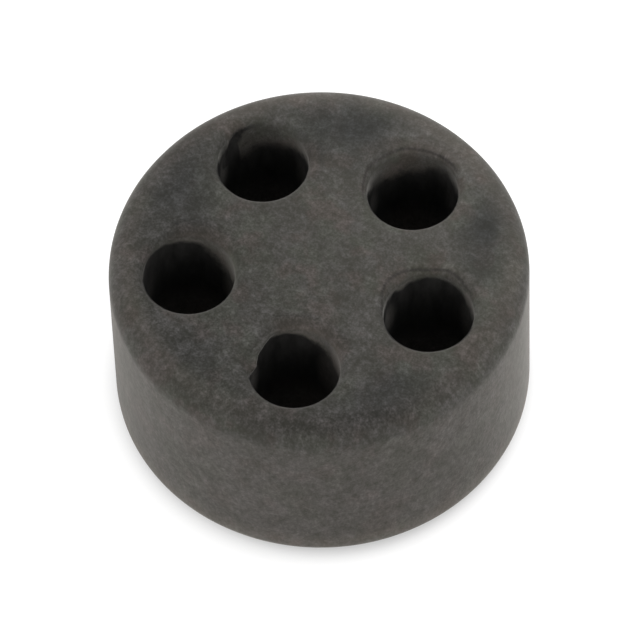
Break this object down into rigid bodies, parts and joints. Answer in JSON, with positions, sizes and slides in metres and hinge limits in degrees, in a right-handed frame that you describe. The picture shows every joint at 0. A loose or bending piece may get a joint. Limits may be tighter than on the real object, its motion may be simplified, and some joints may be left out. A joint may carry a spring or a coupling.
{
  "type": "cable gland sealing insert",
  "caption": "Short cylindrical rubber sealing insert for a cable gland, with rounded edges and a ring of round through bores, each sealing one cable.",
  "frame": {"origin": "centre of the bottom face, on the insert's axis", "axes": "+Z along the insert's axis from the bottom face to the top face, +X through the centre of the first bore"},
  "size_m": [0.0274, 0.0274, 0.015],
  "materials": {
    "rubber": "dry matte, faintly dusty moulded rubber"
  },
  "bodies": {
    "root": {"sealing_insert": "rubber"}
  },
  "joints": []
}
